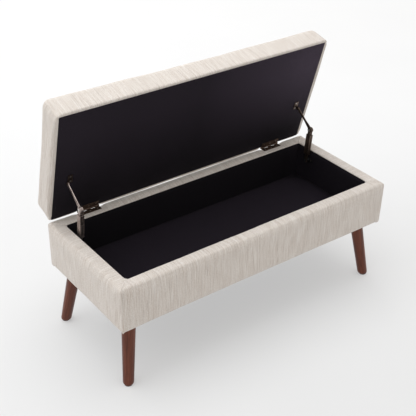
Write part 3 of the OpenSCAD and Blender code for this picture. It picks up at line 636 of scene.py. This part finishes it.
def lid_cover():
    """The lid's padded skin, folded under all round and left open below the black cloth."""
    lo, hi = lid_box("lid_cover")
    hx = hi.x - 2.5 * MM
    front, rear = lo.y - 1.5 * MM, hi.y - 0.6 * MM
    hy, mid = (rear - front) / 2, (rear + front) / 2
    crown = 5 * MM
    edge = hi.z - lo.z - crown
    plan_r, top_r, low_r = 29 * MM, 22 * MM, 5.5 * MM
    xs = stations(-hx, hx, 8.5 * MM, plan_r)
    ys = stations(-hy, hy, 8.5 * MM, plan_r)
    zs = [0, 2.7 * MM, low_r] + [low_r + (edge - top_r - low_r) * k / 5 for k in range(1, 6)]
    zs += [edge - top_r * t for t in (0.66, 0.33)] + [edge]
    nx, ny, nz = len(xs), len(ys), len(zs)
    index, verts, faces, kinds = {}, [], [], []

    def quad(kind, *corners):
        for key in corners:
            if key not in index:
                index[key] = len(verts)
                i, j, k = key
                verts.append((xs[i], ys[j], zs[k]))
        faces.append([index[key] for key in corners])
        kinds.append(kind)

    for i in range(nx - 1):
        for j in range(ny - 1):
            k = nz - 1
            quad("top", (i, j, k), (i + 1, j, k), (i + 1, j + 1, k), (i, j + 1, k))
            quad("under", (i, j, 0), (i, j + 1, 0), (i + 1, j + 1, 0), (i + 1, j, 0))
    for k in range(nz - 1):
        for i in range(nx - 1):
            j = ny - 1
            quad("front", (i, 0, k), (i + 1, 0, k), (i + 1, 0, k + 1), (i, 0, k + 1))
            quad("back", (i, j, k), (i, j, k + 1), (i + 1, j, k + 1), (i + 1, j, k))
        for j in range(ny - 1):
            i = nx - 1
            quad("end", (0, j, k), (0, j, k + 1), (0, j + 1, k + 1), (0, j + 1, k))
            quad("end", (i, j, k), (i, j + 1, k), (i, j + 1, k + 1), (i, j, k + 1))
    raw = np.array(verts)
    keys = np.array(list(index))
    on_side = ((keys[:, :2] == 0) | (keys[:, :2] == [nx - 1, ny - 1])).any(1)
    # plan: square corners become round ones
    core = np.clip(raw[:, :2], [-(hx - plan_r), -(hy - plan_r)], [hx - plan_r, hy - plan_r])
    off = raw[:, :2] - core
    far = np.abs(off).max(1)
    length = np.maximum(np.linalg.norm(off, axis=1), 1e-9)
    plan = core + off / length[:, None] * far[:, None]
    inside = plan_r - far
    outward = off / length[:, None]
    co = np.column_stack([plan, raw[:, 2]])
    # edges: the side's last stretch and the flat's first stretch share one arc
    for z_edge, r, sign in ((edge, top_r, 1), (0.0, low_r, -1)):
        from_edge = (z_edge - raw[:, 2]) * sign
        side = on_side & (from_edge < r)
        flat = (~on_side) & (np.abs(from_edge) < 1e-6) & (inside < r) & (far > 0)
        angle = np.zeros(len(co))
        angle[side] = (1 - from_edge[side] / r) * math.pi / 4
        angle[flat] = math.pi / 4 + inside[flat] / r * math.pi / 4
        both = side | flat
        way_in = r - r * np.cos(angle)
        base = co[:, :2] + outward * np.where(on_side, 0, inside)[:, None]
        co[both, :2] = base[both] - outward[both] * way_in[both, None]
        co[both, 2] = z_edge - sign * (r - r * np.sin(angle[both]))
    tx = np.clip(co[:, 0] / hx, -1, 1)
    ty = np.clip(co[:, 1] / hy, -1, 1)
    rise = crown * (1 - tx ** 4) * (1 - ty ** 2)
    co[:, 2] += rise * rising(co[:, 2], edge - top_r, edge)
    held = np.where((raw[:, 2] < 1e-6) & ~on_side & (inside > 1 * MM), 1.0, 0.0)
    held[(raw[:, 2] < 1e-6) & on_side] = 0.9
    co[:, 1] += mid
    co[:, 2] += lo.z + 0.3 * MM
    faces = facing_out(co, faces)
    obj = piece("lid_cover_skin", co, faces, LINEN, "lid")
    inflate(obj, held, 2.5)
    co = of_points(obj.data, "co")
    nrm = of_points(obj.data, "normal")
    # folds where the cloth is gathered under at the corners
    angle = np.degrees(np.arctan2(np.abs(off[:, 1]), np.abs(off[:, 0])))
    corner = (np.abs(off[:, 0]) > 0) & (np.abs(off[:, 1]) > 0)
    turn = (angle - 45) / 45 * np.where(raw[:, 0] * raw[:, 1] > 0, 1, -1)
    fade = np.clip(1 - raw[:, 2] / (edge * 0.95), 0, 1)
    fold = np.exp(-(turn / 0.16) ** 2) * 2.2 - np.exp(-((turn - 0.32) / 0.2) ** 2) * 1.7
    lift = np.where(corner & on_side, fold * fade, 0) * MM
    bumps = (ripple(co, 0.13, 5) * 1.5 + ripple(co, 0.045, 6) * 0.35) * MM
    lift += np.where(on_side | (raw[:, 2] > 1e-6), bumps, 0)
    co += nrm * lift[:, None]
    # the padding is thicker towards the front left corner, and its tip stands out a little
    thick = rising(-co[:, 0], 20 * MM, 470 * MM) * rising(co[:, 2], 0, edge)
    co[:, 2] += 7 * MM * thick * rising(-co[:, 1], 250 * MM, 440 * MM)
    co[:, 1] -= 4 * MM * thick * rising(-co[:, 1], 400 * MM, 440 * MM)
    tip = np.exp(-((co - [-hx, front, edge]) ** 2).sum(1) / (38 * MM) ** 2)
    co += tip[:, None] * np.array([-1.0, -1.5, 2.0]) * MM
    # nothing sinks below the underside, where the black cloth lies
    co[:, 2] = np.maximum(co[:, 2], lo.z)
    # round the black cloth the bare strip is a little fuller than the cloth
    cloth_low, cloth_high = lid_box("lid_dust_cloth")
    beyond = np.maximum.reduce([np.abs(co[:, 0]) - cloth_high.x, cloth_low.y - co[:, 1],
                                co[:, 1] - cloth_high.y])
    strip = (raw[:, 2] < low_r) & (beyond > 0)
    fuller = np.sin(math.pi * rising(beyond, 0, 12 * MM)) * 1.5 * MM
    co[:, 2] -= np.where(strip, fuller, 0)
    # the back edge swells down to the box, clear of the two hinges
    from_hinge = np.abs(np.abs(co[:, 0]) - HINGE_X)
    middle = rising(np.abs(co[:, 0]), LEAF_INNER_X + 3 * MM, LEAF_INNER_X - 3 * MM)
    up_side = co[:, 2] - lo.z
    swell = 6 * MM * (1 + middle) * np.exp(-((up_side - 5 * MM) / (17 * MM)) ** 2)
    swell *= 1 - rising(from_hinge, 47 * MM, 42 * MM) * rising(up_side, 14 * MM, 8 * MM)
    co[:, 1] += swell * rising(raw[:, 1] + mid, rear - 9 * MM, rear)
    # keep only the underside's turned-under hem, and lay the cloth's own coordinates
    chosen, uv = [], []
    for f, kind in zip(faces, kinds):
        if kind == "under" and not far[f].any():
            continue
        chosen.append(f)
        for i in f:
            x, y, z = raw[i]
            if kind == "end":
                uv.append((z + 3.0, y))
            elif kind == "front":
                uv.append((x, y - z))
            elif kind == "back":
                uv.append((x, y + z))
            else:
                uv.append((x, y))
    bpy.data.objects.remove(obj)
    used = sorted({i for f in chosen for i in f})
    renumber = {i: n for n, i in enumerate(used)}
    world = [LID @ Vector(co[i]) for i in used]
    obj = piece("lid_cover_fabric", world, [[renumber[i] for i in f] for f in chosen], LINEN, "lid",
                uv)
    refine(obj)
    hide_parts("lid_cover")


# ---- black cloth

def cloth_grid(name, material, body, x0, x1, y0, y1, height, to_row, step, under=False):
    """A sheet over a rectangle; height(x, y) shapes it and to_row carries it into the row frame."""
    nx, ny = max(2, round((x1 - x0) / step)), max(2, round((y1 - y0) / step))
    cx, cy = (x0 + x1) / 2, (y0 + y1) / 2
    hx, hy = (x1 - x0) / 2, (y1 - y0) / 2
    verts, flat = [], []
    for j in range(ny + 1):
        for i in range(nx + 1):
            x, y = -hx + 2 * hx * i / nx, -hy + 2 * hy * j / ny
            flat.append((x, y))
            verts.append(to_row(cx + x, cy + y, height(x, y, hx, hy)))
    faces = grid_faces(ny + 1, nx + 1, flip=under)
    uv = [flat[i] for f in faces for i in f]
    return refine(piece(name, verts, faces, material, body, uv))


def edge_in(x, y, hx, hy):
    return min(hx - abs(x), hy - abs(y))


def dust_cloth():
    """The black cloth under the lid, hemmed and pulled flat over the turned-under fabric."""
    lo, hi = lid_box("lid_dust_cloth")

    def height(x, y, hx, hy):
        near = edge_in(x, y, hx, hy)
        p = Vector((x, y, 0))
        slack = 0.5 * noise.noise(p / 0.16) + 0.25 * noise.noise(p / 0.05 + Vector((4, 1, 7)))
        calm = min(near / 0.05, 1.0)
        hem = 0.55 * math.exp(-((near - 0.0115) / 0.0022) ** 2)
        edge = 0.9 * math.exp(-near / 0.0016)
        return (slack * calm + 0.25 + hem + edge) * MM

    hi.y += 2.5 * MM
    obj = cloth_grid("dust_cloth", DUST, "lid", lo.x, hi.x, lo.y, hi.y, height,
                     lambda x, y, z: LID @ Vector((x, y, z)), step=5.5 * MM, under=True)
    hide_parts("lid_dust_cloth")


def wall_cloth():
    """Black cloth over the four inner walls, with rounded upright corners."""
    top = RETURN_Z + 2 * MM
    foot = FLOOR_Z - 1.5 * MM
    rows = 14
    verts = []
    for k in range(rows + 1):
        z = foot + (top - foot) * k / rows
        shape = OPEN_X - 0.2 * MM, OPEN_Y - 0.2 * MM, 12.8 * MM
        loop, sides = rounded_loop(*shape, 90, 34, 6)
        loop = [squared(x, y, *shape, 0.85) for x, y in loop]
        verts += [Vector((x, y + MID_Y, z)) for x, y in loop]
    cols = len(sides)
    run = [0.0]
    for a, b in zip(loop, loop[1:] + loop[:1]):
        run.append(run[-1] + math.dist(a, b))
    wave = ripple(verts, 0.12, 8) * 0.5 + ripple(verts, 0.04, 9) * 0.2
    out = []
    for n, v in enumerate(verts):
        k = n // cols
        inward = Vector((-v.x / HX * 0.4, -(v.y - MID_Y) / HY, 0)).normalized()
        calm = math.sin(math.pi * (k / rows)) ** 0.5 if 0 < k < rows else 0.0
        v = v + inward * abs(float(wave[n])) * calm * MM
        if k == rows:
            v.x += 4 * MM * rising(v.x, OPEN_X - 100 * MM, OPEN_X)
            v.y += 4 * MM * rising(v.y, MID_Y + 80 * MM, MID_Y + 180 * MM)
        out.append(v)
    faces = grid_faces(rows + 1, cols, wrap=True, flip=True)
    uv = []
    for n, f in enumerate(faces):
        j = n % cols
        for i in f:
            c = i % cols
            u = run[c] if not (j == cols - 1 and c == 0) else run[cols]
            uv.append((u, verts[i].z))
    obj = piece("wall_cloth", out, faces, LINING, "box", uv)
    refine(obj)
    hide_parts("wall_lining")


def floor_cloth():
    """Black cloth over the storage floor, a little puffed and turned down along its edges."""
    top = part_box("floor_panel")[1].z

    def height(x, y, hx, hy):
        near = edge_in(x, y, hx, hy)
        p = Vector((x, y, 3))
        return (0.8 * noise.noise(p / 0.15) + 0.3 * noise.noise(p / 0.05) + 0.6
                - 1.6 * math.exp(-near / 0.003)) * MM

    obj = cloth_grid("floor_cloth", FLOORING, "box", -OPEN_X, OPEN_X, MID_Y - OPEN_Y, MID_Y + OPEN_Y,
                     height, lambda x, y, z: Vector((x, y, top + z)), step=8 * MM)
    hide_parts("floor_panel")


def under_cloth():
    """Black cloth stapled under the box, hanging slightly between its staples."""
    lo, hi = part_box("underside_cloth")

    def height(x, y, hx, hy):
        near = edge_in(x, y, hx, hy)
        p = Vector((x, y, 9))
        calm = min(near / 0.06, 1.0)
        return ((0.7 * noise.noise(p / 0.14) - 0.6) * calm - 0.15) * MM

    wider = 6 * MM
    obj = cloth_grid("under_cloth", LINING, "box", lo.x - wider, hi.x + wider, lo.y - wider, hi.y + wider,
                     height, lambda x, y, z: Vector((x, y, lo.z + z)), step=11 * MM, under=True)
    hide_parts("underside_cloth")


# ---- foam under the fabric

def pressed_back(node, body, material, moves, own=None):
    """The node's solid, its outer faces drawn in a little from the fabric. moves gives a pair of
    lists for each axis, from and to, in the row's frame or in the lid's own."""
    own = own or Matrix.Identity(4)
    back = own.inverted()
    mesh = frame["nodes"][node].data
    spots, verts, number = {}, [], []
    for v in mesh.vertices:
        p = Vector([np.interp(c, *move) for c, move in zip(back @ v.co, moves)])
        key = tuple(round(c * 1e5) for c in p)
        if key not in spots:
            spots[key] = len(verts)
            verts.append(own @ p)
        number.append(spots[key])
    faces = []
    for polygon in mesh.polygons:
        f = list(dict.fromkeys(number[i] for i in polygon.vertices))
        if len(f) > 2:
            faces.append(f)
    obj = piece(node + "_set_in", verts, faces, material, body, smooth=False)
    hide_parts(node)
    return obj


def both_ways(centre, *steps):
    """From and to lists, the same on both sides of a centre, for steps of (distance, moved to)."""
    out = [centre + a for a, b in steps], [centre + b for a, b in steps]
    back = [centre - a for a, b in steps][::-1], [centre - b for a, b in steps][::-1]
    return back[0] + out[0], back[1] + out[1]


def fillings():
    """Foam and the hinge rail, their outer faces set in from the fabric by 4 mm."""
    way_in = 4 * MM
    foam_low, foam_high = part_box("rim_padding")
    x_out, y_out = foam_high.x, (foam_high.y - foam_low.y) / 2
    x_still, y_still = x_out - 30 * MM, y_out - 26 * MM
    moves = (both_ways(0, (OPEN_X, OPEN_X + 2 * MM), (x_still, x_still), (x_out, x_out - way_in)),
             both_ways(MID_Y, (OPEN_Y, OPEN_Y + 2 * MM), (y_still, y_still), (y_out, y_out - way_in)),
             ([BASE_Z, BASE_Z + 40 * MM, foam_low.z, foam_high.z],
              [BASE_Z + 3 * MM, BASE_Z + 40 * MM, foam_low.z - 1 * MM, foam_high.z - 3.5 * MM]))
    for node in ("front_foam", "back_foam", "left_foam", "right_foam", "rim_padding"):
        pressed_back(node, "box", FOAM, moves)
    pressed_back("hinge_rail", "box", TIMBER, moves)
    lo, hi = lid_box("lid_foam")
    half, mid = (hi.y - lo.y) / 2, (hi.y + lo.y) / 2
    moves = (both_ways(0, (hi.x - 40 * MM, hi.x - 40 * MM), (hi.x, hi.x - way_in)),
             both_ways(mid, (half - 40 * MM, half - 40 * MM), (half, half - way_in)),
             ([lo.z, lo.z + 20 * MM, hi.z], [lo.z + 1 * MM, lo.z + 20 * MM, hi.z - way_in]))
    pressed_back("lid_foam", "lid", FOAM, moves, LID)


# ---- legs

def leg_piece(name, sx, sy):
    """A turned, splayed leg with a flat top against the box and a softened foot."""
    lo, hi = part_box(name)
    out_x, in_x = (hi.x, lo.x) if sx > 0 else (lo.x, hi.x)
    out_y, in_y = (hi.y, lo.y) if sy > 0 else (lo.y, hi.y)
    stouter = 1.02
    top_r, foot_r = 22.8 * MM * stouter, 17.6 * MM * stouter
    foot = Vector((out_x - sx * foot_r, out_y - sy * foot_r, lo.z))
    head = Vector((in_x + sx * top_r, in_y + sy * top_r, hi.z))
    length = head.z - foot.z
    # height and growth of the radius, in mm, with a rounded foot and a broken top edge
    levels = [(0.0, -8.5), (0.0, -6.6), (0.6, -4.6), (1.7, -2.9), (3.3, -1.5), (5.4, -0.5), (8.0, 0.0)]
    levels += [(z, 0.0) for z in np.linspace(14, length * 1000 - 3, 22)]
    levels += [(length * 1000 - 0.8, -0.1), (length * 1000, -0.7)]
    around = 48
    verts, uv_of = [], []
    for z_mm, grow in levels:
        t = z_mm * MM / length
        centre = foot.lerp(head, t)
        r = foot_r + (top_r - foot_r) * t + grow * MM
        for k in range(around):
            a = 2 * math.pi * k / around
            verts.append(centre + Vector((r * math.cos(a), r * math.sin(a), 0)))
    faces = grid_faces(len(levels), around, wrap=True)
    # each leg is cut from another place in the wood
    shift = 0.7 * (sx + 2 * sy)
    uv = []
    for f in faces:
        last = max(i % around for i in f) == around - 1 and min(i % around for i in f) == 0
        for i in f:
            k = i % around
            k = around if last and k == 0 else k
            uv.append((k / around * 2 * math.pi * foot_r + shift, levels[i // around][0] * MM))
    low_cap = list(range(around))[::-1]
    top_cap = [(len(levels) - 1) * around + k for k in range(around)]
    faces += [low_cap, top_cap]
    uv += [(verts[i].x, verts[i].y) for i in low_cap + top_cap]
    obj = piece(name + "_turned", verts, faces, WALNUT, "box", uv)
    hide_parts(name)


# ---- screws

def islands(mesh):
    """The separate solids of a mesh, each as an array of its points."""
    parent = list(range(len(mesh.vertices)))

    def root(i):
        while parent[i] != i:
            parent[i] = parent[parent[i]]
            i = parent[i]
        return i

    spots = {}
    for v in mesh.vertices:
        key = tuple(round(c * 1e6) for c in v.co)
        spots.setdefault(key, v.index)
        parent[root(v.index)] = root(spots[key])
    for edge in mesh.edges:
        a, b = edge.vertices
        parent[root(a)] = root(b)
    groups = {}
    for v in mesh.vertices:
        groups.setdefault(root(v.index), []).append(tuple(v.co))
    return [np.array(g) for g in groups.values()]


def screw_heads(node, body, up):
    """Slightly domed screw heads with a cross recess, on the node's countersunk screws."""
    n, dome, sunk, recess = 14, 0.2, 0.02, 0.45
    verts, faces = [], []
    for points in islands(frame["nodes"][node].data):
        span = points.max(0) - points.min(0)
        centre = (points.max(0) + points.min(0)) / 2
        axis = up(centre, span)
        depth = points @ np.array(axis)
        top = points[depth > depth.max() - 1e-5]
        head = Vector(top.mean(0))
        radius = np.linalg.norm(top - top.mean(0), axis=1).max()
        side = axis.orthogonal().normalized()
        other = axis.cross(side)
        start = len(verts)
        for i in range(n + 1):
            for j in range(n + 1):
                x, y = 2 * i / n - 1, 2 * j / n - 1
                size, far = math.hypot(x, y), max(abs(x), abs(y))
                if size:
                    x, y = x / size * far, y / size * far
                rim = math.hypot(x, y)
                h = dome * (1 - rim ** 2) ** 0.5 - sunk if rim < 1 else -sunk
                if min(abs(x), abs(y)) < 0.16 and rim < 0.66:
                    h -= recess
                verts.append(head + (side * x + other * y) * radius * 0.98 + axis * h * MM)
        faces += [[start + i for i in f] for f in grid_faces(n + 1, n + 1)]
    piece(node + "_heads", verts, faces, SCREW, body)


# ---- finishes of the CAD nodes

def dress(material, *nodes, soften=0.0):
    """Gives CAD nodes their finish, and breaks their sharp edges by soften."""
    for name in nodes:
        obj = frame["nodes"][name]
        obj.data.materials.clear()
        obj.data.materials.append(material)
        if soften:
            weld = obj.modifiers.new("weld", "WELD")
            weld.merge_threshold = 1e-5
            bevel = obj.modifiers.new("soften", "BEVEL")
            bevel.width = soften
            bevel.segments = 2
            bevel.limit_method = "ANGLE"
            bevel.angle_limit = math.radians(40)
            bevel.harden_normals = True


def dress_nodes():
    sides = ("left", "right")
    dress(TIMBER, "front_board", "back_board", "left_board", "right_board", "bottom_board",
          "front_left_leg_block", "front_right_leg_block", "back_left_leg_block",
          "back_right_leg_block", "lid_board")
    dress(BLACKENED, "underside_staples", "lid_staples")
    dress(STEEL, "hanger_bolts", "box_screws", "lid_screws",
          *[f"{s}_stay_spring" for s in sides], *[f"{s}_stay_elbow_pin" for s in sides])
    dress(DARK_BRONZE, *[f"{s}_hinge_{p}" for s in sides for p in ("box_leaf", "lid_leaf", "pin")],
          soften=0.3 * MM)
    # the left stay's case, fork and arm get the bronze with a painted reflection, the right stay's the
    # plain bronze
    for s, tone in (("left", BRONZE_PAINTED_REFLECTION), ("right", BRONZE)):
        dress(tone, *[f"{s}_stay_{p}" for p in ("case", "fork", "arm")], soften=0.35 * MM)
        dress(BRONZE, f"{s}_stay_lid_bracket", soften=0.35 * MM)
        dress(BLACKENED, f"{s}_stay_wall_bracket", soften=0.35 * MM)
    dress(BRONZE, "threaded_inserts")
    dress(PLASTIC, "foot_glides", "left_stay_plunger", "right_stay_plunger")


# ---- studio

def studio():
    floor = bpy.data.meshes.new("studio_floor")
    size = 14.0
    square = [(-size, -size, 0), (size, -size, 0), (size, size, 0), (-size, size, 0)]
    floor.from_pydata(square, [], [(0, 1, 2, 3)])
    ground = bpy.data.objects.new("studio_floor", floor)
    scene.collection.objects.link(ground)
    m = Nodes("studio_white", Roughness=0.9, Specular_IOR_Level=0.1, Emission_Strength=1.0)
    grain = m.noise(m.coords("Object", (2, 2, 2)), detail=2)
    # painted light: the floor glows, brighter away from the camera, and this also lightens the shadow
    # under the bench
    where = m.split()
    away = m.maths("ADD", m.maths("MULTIPLY", where["X"], 0.55), m.maths("MULTIPLY", where["Y"], 0.85))
    painted_glow = m.ramp(m.span(away, -0.8, 3.2), [(0.0, (0.362,) * 3), (0.33, (0.392,) * 3),
                                            (0.6, (0.475,) * 3), (1.0, (0.54,) * 3)])
    m.join(painted_glow, m.shader.inputs["Emission Color"])
    m.finish(m.mix(m.span(grain, 0.3, 0.7), (0.445,) * 3, (0.455,) * 3))
    floor.materials.append(m.mat)

    world = bpy.data.worlds.new("studio_world")
    scene.world = world
    world.use_nodes = True
    background = world.node_tree.nodes["Background"]
    background.inputs["Color"].default_value = (1, 0.985, 0.965, 1)
    background.inputs["Strength"].default_value = 0.69

    def softbox(name, place, target, size_x, size_y, power):
        lamp = bpy.data.lights.new(name, "AREA")
        lamp.shape = "RECTANGLE"
        lamp.size, lamp.size_y = size_x, size_y
        lamp.energy = power
        lamp.color = (0.94, 0.97, 1.0)
        holder = bpy.data.objects.new(name, lamp)
        holder.location = place
        holder.rotation_mode = "QUATERNION"
        holder.rotation_quaternion = (Vector(target) - Vector(place)).to_track_quat("-Z", "Y")
        scene.collection.objects.link(holder)

    softbox("key", (-2.0, 0.8, 2.9), (0, 0, 0.3), 3.0, 3.0, 32)
    softbox("top", (0.3, 0.5, 3.4), (0, 0, 0.3), 3.6, 3.0, 50)
    softbox("back", (0.5, 6.0, 3.5), (0.3, 3.6, 0.0), 6.0, 3.0, 60)


def camera():
    """The photograph's viewpoint: 31.7 degrees down, 37.3 degrees round, slightly rolled."""
    yaw, pitch, roll = math.radians(37.287), math.radians(31.710), math.radians(1.126)
    ahead = Vector((math.sin(yaw) * math.cos(pitch), math.cos(yaw) * math.cos(pitch), -math.sin(pitch)))
    right = Vector((math.cos(yaw), -math.sin(yaw), 0))
    up = right.cross(ahead)
    across = right * math.cos(roll) + up * math.sin(roll)
    upward = up * math.cos(roll) - right * math.sin(roll)
    turn = Matrix((across, upward, -ahead)).transposed().to_4x4()
    data = bpy.data.cameras.new("photo_camera")
    data.sensor_width = 36.0
    data.lens = 78.54
    data.clip_end = 100
    eye = bpy.data.objects.new("photo_camera", data)
    eye.matrix_world = Matrix.Translation((-1.6372, MID_Y - 2.0672, 1.9977)) @ turn
    scene.collection.objects.link(eye)
    scene.camera = eye


# ---- build

camera()
studio()
scene.view_settings.view_transform = "Standard"
dress_nodes()
box_cover()
lid_cover()
fillings()
dust_cloth()
wall_cloth()
floor_cloth()
under_cloth()
for y_word, sy in (("front", -1), ("back", 1)):
    for x_word, sx in (("left", -1), ("right", 1)):
        leg_piece(f"{y_word}_{x_word}_leg", sx, sy)

screw_heads("box_screws", "box", lambda centre, span: Vector((0, 0, 1)) if span[2] > 0.01 else
            Vector((-math.copysign(1, centre[0]), 0, 0)))
screw_heads("lid_screws", "lid", lambda centre, span: -LID.col[2].xyz)
